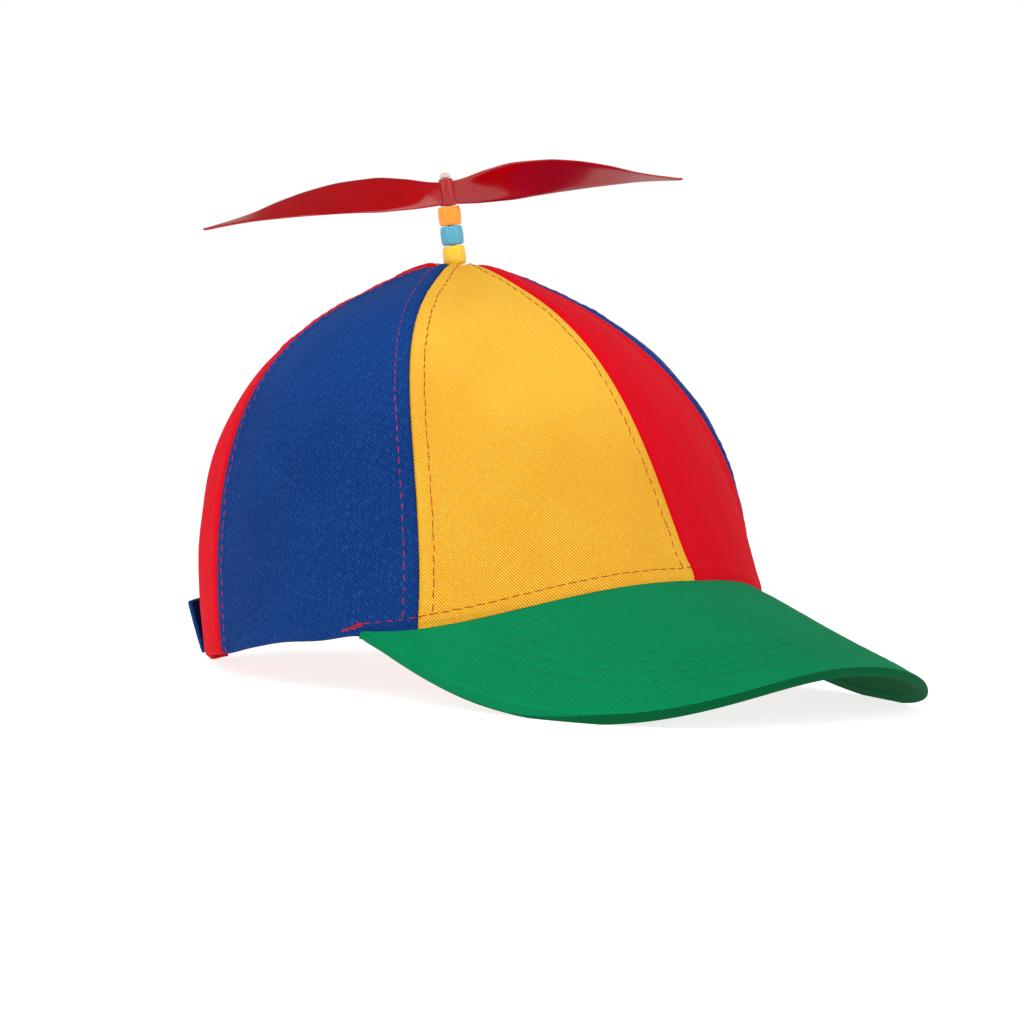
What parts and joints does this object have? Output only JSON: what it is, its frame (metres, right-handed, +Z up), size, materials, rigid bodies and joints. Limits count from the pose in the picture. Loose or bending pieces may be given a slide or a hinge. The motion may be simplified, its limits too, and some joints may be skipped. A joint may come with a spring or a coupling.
{
  "type": "propeller cap",
  "caption": "Six-panel cloth baseball cap in red, yellow and blue with a green bill, a back strap, and a bead stack carrying a free-spinning plastic propeller.",
  "frame": {"origin": "middle of the cap's footprint, at the height of the surface it rests on", "axes": "+Z up; -Y towards the bill, so +Y towards the back; -X towards the wearer's right"},
  "size_m": [0.198, 0.2706, 0.1858],
  "materials": {
    "cloth_yellow": "cotton twill",
    "cloth_blue": "cotton twill",
    "cloth_red": "cotton twill",
    "cloth_green": "cotton twill",
    "red_plastic": "gloss",
    "bead_yellow": "gloss",
    "bead_blue": "gloss",
    "bead_orange": "gloss",
    "clear_plastic": "translucent"
  },
  "bodies": {
    "cap": {"panel_front_right": "cloth_yellow", "panel_side_right": "cloth_blue", "panel_back_right": "cloth_red", "panel_back_left": "cloth_yellow", "panel_side_left": "cloth_blue", "panel_front_left": "cloth_red", "bill": "cloth_green", "strap_outer": "cloth_blue", "strap_inner": "cloth_blue", "bead_yellow": "bead_yellow", "bead_blue": "bead_blue", "bead_orange": "bead_orange", "pin": "clear_plastic", "pin_cap": "clear_plastic"},
    "propeller": {"propeller": "red_plastic"}
  },
  "joints": [
    {"name": "propeller_spin", "type": "hinge", "parent": "cap", "child": "propeller", "pos_m": [-0.00297, 0.05638, 0.17196], "axis": [-0.1111, 0.115, 0.9871], "continuous": true}
  ]
}
